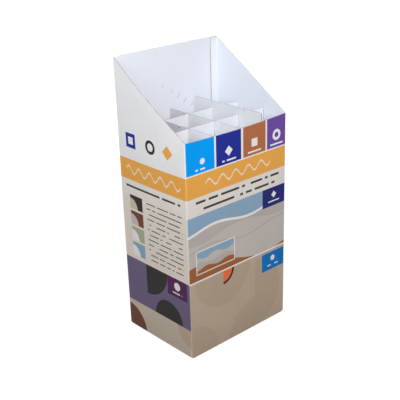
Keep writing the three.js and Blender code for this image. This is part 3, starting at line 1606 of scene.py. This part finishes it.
@dataclass
class DividerFit:
    """How the dividers fit each other and the box."""

    size: BoxSize
    end_clearance: float = 0.5
    slot_clearance: float = 0.4
    lead_in: float = 2.0
    corner_cut: float = 2.0
    ease: float = 12.0
    near_corner: float = 8.0
    long_count: int = 3
    cross_count: int = 2

    @property
    def height(self) -> float:
        """The height of every divider."""
        return self.size.front_height - self.size.floor_top

    @property
    def slot_foot(self) -> float:
        """The height of the foot of a cross divider's slots."""
        return (self.height - self.size.touch_gap) / 2

    @property
    def slot_top(self) -> float:
        """The height of the top of a front-to-back divider's slots."""
        return (self.height + self.size.touch_gap) / 2

    @property
    def slot_width(self) -> float:
        """The width of a slot."""
        return self.size.board + 2 * self.slot_clearance

    @property
    def long_half(self) -> float:
        """Half the length of a front-to-back divider."""
        return self.size.depth / 2 - self.size.board - self.end_clearance

    @property
    def cross_half(self) -> float:
        """Half the length of a cross divider."""
        return self.size.width / 2 - self.size.board - self.end_clearance

    @property
    def long_places(self) -> list[float]:
        """Where the front-to-back dividers stand.

        Returns:
            Their places from left to right, from the box's middle.
        """
        inside = self.size.width - 2 * self.size.board
        pitch = inside / (self.long_count + 1)
        return [-inside / 2 + pitch * (k + 1) for k in range(self.long_count)]


@dataclass
class Divider:
    """A slotted divider board."""

    name: str
    fit: DividerFit
    stock: BoardStock
    finishes: Finishes

    def _stand(self, sheet: Sheet, place: Vector) -> bpy.types.Object:
        """Makes the board and stands it in the box, in place of its CAD node.

        Args:
            sheet: the board, from its own foot upwards.
            place: where it stands, from the middle of the box and the height of its base flaps.

        Returns:
            The divider.
        """
        shift = self.fit.size.shift + Vector((0, 0, self.fit.size.floor_top)) + place
        board = sheet.build(f"{self.name}_board", shift, self.finishes)
        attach(board, BODY)
        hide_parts(self.name)
        return board


@dataclass
class CrossDivider(Divider):
    """A divider from side to side. It has curled, and its slots open upwards."""

    place: int
    shift: float
    curl: float
    curl_power: float = 4.0

    def line(self, x: float) -> float:
        """The line that the divider takes in plan.

        Args:
            x: a place along the divider, from its middle.

        Returns:
            How far the middle of the board is behind the box's middle there.
        """
        size = self.fit.size
        inside = size.depth - 2 * size.board
        middle = -inside / 2 + inside / (self.fit.cross_count + 1) * self.place + self.shift
        return middle - self.curl * abs(x / self.fit.cross_half) ** self.curl_power

    def _eased(self, distance: float, cut: float) -> float:
        """How far a column so near a cut corner is moved away from it."""
        return cut * max(0.0, 1 - distance / self.fit.ease)

    def _column(self, sheet: Sheet, x: float, ends: tuple[float, float], step: int) -> list[int]:
        """The points of one column.

        Args:
            sheet: the sheet that takes them.
            x: the column's place along the divider.
            ends: the ends of its bay.
            step: its count across the flutes.

        Returns:
            The lattice points, upwards.
        """
        fit = self.fit
        half_board = fit.size.board / 2
        column = []
        for z in self.rows():
            moved = x
            for end, sign in zip(ends, (1, -1)):
                at_wall = abs(end) > fit.cross_half - SAME_PLACE
                if z == 0 and at_wall:
                    moved += sign * self._eased(abs(x - end), fit.corner_cut)
                if z == fit.height and not at_wall:
                    moved += sign * self._eased(abs(x - end), fit.lead_in)
            rise = self.line(moved + half_board) - self.line(moved - half_board)
            half = half_board * math.hypot(1, rise / fit.size.board)
            y = self.line(moved)
            outer, inner = Vector((moved, y - half, z)), Vector((moved, y + half, z))
            column.append(sheet.add(outer, inner, (moved, z), step))
        return column

    def rows(self) -> list[float]:
        """The heights of the lattice rows.

        Returns:
            The heights above the divider's foot, upwards.
        """
        fit = self.fit
        foot, cut, near = fit.slot_foot, fit.corner_cut, fit.near_corner
        lead = fit.height - fit.lead_in
        return [0.0, cut, cut + near, foot - near, foot, foot + near, lead - near, lead, fit.height]

    def build(self) -> bpy.types.Object:
        """Builds the divider in place of its CAD node.

        Returns:
            The divider.
        """
        fit = self.fit
        half_slot = fit.slot_width / 2
        ends = [-fit.cross_half]
        for x in fit.long_places:
            ends += [x - half_slot, x + half_slot]
        ends.append(fit.cross_half)
        sheet = Sheet(self.stock, Flutes.UPRIGHT)
        columns: list[list[int]] = []
        slots: set[int] = set()
        for start, end in zip(ends[::2], ends[1::2]):
            for x in evenly([start, end], self.stock.step):
                columns.append(self._column(sheet, x, (start, end), len(columns)))
            slots.add(len(columns) - 1)
        foot_row = self.rows().index(fit.slot_foot)
        sheet.lattice(columns, lambda column, row: column in slots and row >= foot_row)
        return self._stand(sheet, Vector((0, 0, 0)))


@dataclass
class LongDivider(Divider):
    """A flat divider from front to back. Its slots open downwards, and its flutes run level."""

    x: float
    crossings: list[float]
    lift: float
    nick: float
    nick_width: float = 9.0
    nick_depth: float = 3.0

    def build(self) -> bpy.types.Object:
        """Builds the divider in place of its CAD node.

        Returns:
            The divider.
        """
        fit = self.fit
        half_slot, half_nick = fit.slot_width / 2, self.nick_width / 2
        slot_ends = {y + side * half_slot: side for y in self.crossings for side in (-1, 1)}
        nick_marks = (self.nick - half_nick, self.nick, self.nick + half_nick)
        marks = {-fit.long_half, fit.long_half, *slot_ends, *nick_marks}
        marks |= {end + side * fit.near_corner for end, side in slot_ends.items()}
        marks |= {side * (fit.long_half - fit.near_corner) for side in (-1, 1)}
        places = sorted(marks)
        rows = evenly([0.0, fit.lead_in, fit.slot_top, fit.height], self.stock.step)
        sheet = Sheet(self.stock, Flutes.LEVEL)
        half_board = fit.size.board / 2

        def moved(y: float, z: float) -> tuple[float, float]:
            """Moves a lattice place for the clipped corners, the slot mouths and the nick.

            Args:
                y: the place along the divider.
                z: its height above the divider's foot.

            Returns:
                The place along the divider and the height after the move.
            """
            if abs(y) > fit.long_half - SAME_PLACE:
                y -= math.copysign(max(0.0, fit.corner_cut - z), y)
            if y in slot_ends:
                y += slot_ends[y] * max(0.0, fit.lead_in - z)
            if y == self.nick:
                z -= self.nick_depth * max(0.0, 1 - (fit.height - z) / fit.ease)
            return y, z

        columns = []
        for place in places:
            column = []
            for step, height in enumerate(rows):
                y, z = moved(place, height)
                outer, inner = Vector((half_board, y, z)), Vector((-half_board, y, z))
                column.append(sheet.add(outer, inner, (y, z), step))
            columns.append(column)
        in_slot = {places.index(y - half_slot) for y in self.crossings}
        slot_rows = rows.index(fit.slot_top)
        sheet.lattice(columns, lambda column, row: column in in_slot and row < slot_rows)
        return self._stand(sheet, Vector((self.x, 0, self.lift)))


# The studio


@dataclass(frozen=True)
class Lamp:
    """A soft square lamp."""

    name: str
    place: tuple[float, float, float]
    aim: tuple[float, float, float]
    side: float
    power: float
    colour: tuple[float, float, float]

    def build(self) -> None:
        """Hangs the lamp."""
        data = bpy.data.lights.new(self.name, "AREA")
        data.shape = "SQUARE"
        data.size = self.side
        data.energy = self.power
        data.color = self.colour
        lamp = bpy.data.objects.new(self.name, data)
        lamp.location = self.place
        lamp.visible_camera = False
        towards = Vector(self.aim) - Vector(self.place)
        lamp.rotation_euler = towards.to_track_quat("-Z", "Y").to_euler()
        bpy.context.scene.collection.objects.link(lamp)


@dataclass
class Studio:
    """The floor, the lamps, the camera and the surroundings."""

    eye: tuple[float, float, float] = (-1.50254, -1.65913, 1.33112)
    heading: float = 41.846
    tilt: float = 22.370
    roll: float = -1.698
    lens: float = 71.67
    floor_drop: float = 0.0003
    floor_half: float = 12.0
    floor_colour: Colour = (0.3, 0.28, 0.26, 1.0)
    fill: float = 0.32
    fill_colour: Colour = (1.0, 0.88, 0.84, 1.0)
    near_glow: float = 0.8
    far_glow: float = 0.95
    glow_start: float = 0.8
    glow_end: float = 3.0
    white: Colour = (1.0, 1.0, 1.0, 1.0)

    def build(self) -> None:
        """Sets up everything round the object."""
        self._floor()
        self._surroundings()
        self._camera()
        # Each lamp's name, place, aim, side, power and colour
        for lamp in (
            Lamp("far_lamp", (-1.4, -2.5, 2.1), (0, 0, 0.5), 1.6, 41, (1.0, 0.88, 0.70)),
            Lamp("left_lamp", (-1.2, -0.1, 1.45), (-0.2, 0, 0.6), 0.6, 11.3, (0.80, 0.91, 1.0)),
            Lamp("front_lamp", (-0.05, -1.3, 1.65), (0, 0, 0.65), 0.7, 13.6, (0.74, 0.87, 1.0)),
            Lamp("rear_lamp", (1.7, 1.9, 1.9), (0, 0, 0.5), 2.0, 26, (1.0, 0.98, 0.95)),
            Lamp("back_lamp", (0.95, 2.6, 0.9), (0, 0, 0.4), 1.4, 24, (1.0, 0.98, 0.96)),
        ):
            lamp.build()
        bpy.context.scene.view_settings.view_transform = "Standard"

    def _seen(self, graph: Graph) -> Wire:
        """Tells apart the rays that show a background: the camera's, and those in gloss and glass.

        Args:
            graph: the graph of the floor or of the surroundings.

        Returns:
            1 for those rays and 0 for the others.
        """
        camera, glossy, through = (
            graph.node("ShaderNodeLightPath", {}, {}, ray)
            for ray in ("Is Camera Ray", "Is Glossy Ray", "Is Transmission Ray")
        )
        return camera.at_least(glossy).at_least(through)

    def _floor(self) -> None:
        """A plain pale floor that shows white and keeps the object's shadow."""
        half = self.floor_half
        mesh = bpy.data.meshes.new("floor")
        corners = [(-half, -half, 0), (half, -half, 0), (half, half, 0), (-half, half, 0)]
        mesh.from_pydata(corners, [], [(0, 1, 2, 3)])
        floor = bpy.data.objects.new("floor", mesh)
        floor.location.z = -self.floor_drop
        bpy.context.scene.collection.objects.link(floor)
        graph = Graph.for_material("floor_paint")
        matt = {"Color": self.floor_colour, "Roughness": 0.5}
        pale = graph.node("ShaderNodeBsdfDiffuse", {}, matt)
        place = graph.node("ShaderNodeTexCoord", {}, {}, "Object")
        away = graph.vector_math("LENGTH", place, result="Value")
        level = away.spread(self.glow_start, self.glow_end, self.near_glow, self.far_glow)
        shine = {"Color": self.white, "Strength": self._seen(graph) * level}
        glow = graph.node("ShaderNodeEmission", {}, shine)
        both = graph.node("ShaderNodeAddShader", {}, {0: pale, 1: glow})
        mesh.materials.append(graph.finish(both))

    def _surroundings(self) -> None:
        """A white surround to look at, and an even fill of light from it."""
        world = bpy.data.worlds.new("surround")
        bpy.context.scene.world = world
        graph = Graph(world)
        seen = self._seen(graph)
        strength = seen * (1 - self.fill) + self.fill
        colour = graph.mix(seen, self.fill_colour, self.white)
        light = graph.node("ShaderNodeBackground", {}, {"Color": colour, "Strength": strength})
        graph.node("ShaderNodeOutputWorld", {}, {"Surface": light}, None)

    def _camera(self) -> None:
        """The camera at the photograph's viewing angle."""
        data = bpy.data.cameras.new("camera")
        data.sensor_width = 36.0
        data.lens = self.lens
        data.clip_end = 100.0
        camera = bpy.data.objects.new("camera", data)
        turn = Euler((math.radians(90 - self.tilt), 0, math.radians(-self.heading))).to_matrix()
        turn = turn @ Matrix.Rotation(math.radians(self.roll), 3, "Z")
        camera.matrix_world = Matrix.Translation(self.eye) @ turn.to_4x4()
        bpy.context.scene.collection.objects.link(camera)
        bpy.context.scene.camera = camera


def main() -> None:
    """Builds the finishes, the boards in order and the studio, and logs each board's face count."""
    logging.basicConfig(level=logging.INFO, format="%(name)s: %(message)s")
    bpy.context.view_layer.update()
    size = BoxSize()
    stock = BoardStock()
    fit = DividerFit(size)

    liner_edge = CutPaper("liner_edge", size, paint(236, 235, 234), paint(206, 200, 196)).material()
    core = CutPaper("fluted_core", size, paint(192, 184, 186), paint(150, 140, 144)).material()
    upright_liner = PlainLiner("plain_liner_upright").material()
    carton_liner = PlainLiner(
        "carton_liner",
        colour=paint(230, 233, 242),
        # The back wall's inner face has a row of dints, each sunk and darkened with painted shade
        dints=(
            Dint(-435, 753, 16, 2.4, 35, 0.18),
            Dint(-468, 743, 17, 2.6, 40, 0.3),
            Dint(-502, 722, 13, 2.6, 20, 0.35),
            Dint(-529, 702, 24, 3.0, 40, 0.45),
            Dint(-556, 684, 24, 3.0, 40, 0.45),
            Dint(-583, 666, 20, 3.2, 10, 0.6),
        ),
    ).material()
    printed = PrintedFace(size).material()

    made = [Carton(size, stock, (printed, carton_liner, liner_edge, core)).build()]
    plain = (upright_liner, upright_liner, liner_edge, core)
    cross = [
        CrossDivider("cross_divider_front", fit, stock, plain, place=1, shift=-2.0, curl=7.0),
        CrossDivider("cross_divider_rear", fit, stock, plain, place=2, shift=13.0, curl=12.0),
    ]
    made += [divider.build() for divider in cross]
    for name, x, lift, nick, nick_shade in zip(
        ("divider_left", "divider_middle", "divider_right"),
        fit.long_places,
        (0.0, 0.0, 20.0),
        (-11.0, 79.0, -76.0),
        (0.85, 0.5, 0.25),
    ):
        # Each long divider has a dint under its nick, sunk and darkened with painted shade to the depth
        # given in the last tuple
        liner = PlainLiner(
            f"{name}_liner",
            # Painted shade: the long dividers' liner is darker and less blue than the cross dividers'
            # liner
            colour=paint(225, 225, 229),
            flutes=Flutes.LEVEL,
            dints=(Dint(nick, fit.height - 4, 12, 4, 60, nick_shade),),
        ).material()
        crossings = [divider.line(x) for divider in cross]
        dress = (liner, liner, liner_edge, core)
        made.append(LongDivider(name, fit, stock, dress, x, crossings, lift, nick).build())
    for board in made:
        log.info("%s: %d faces", board.name, len(board.data.polygons))

    Studio().build()


if __name__ == "__main__":
    main()
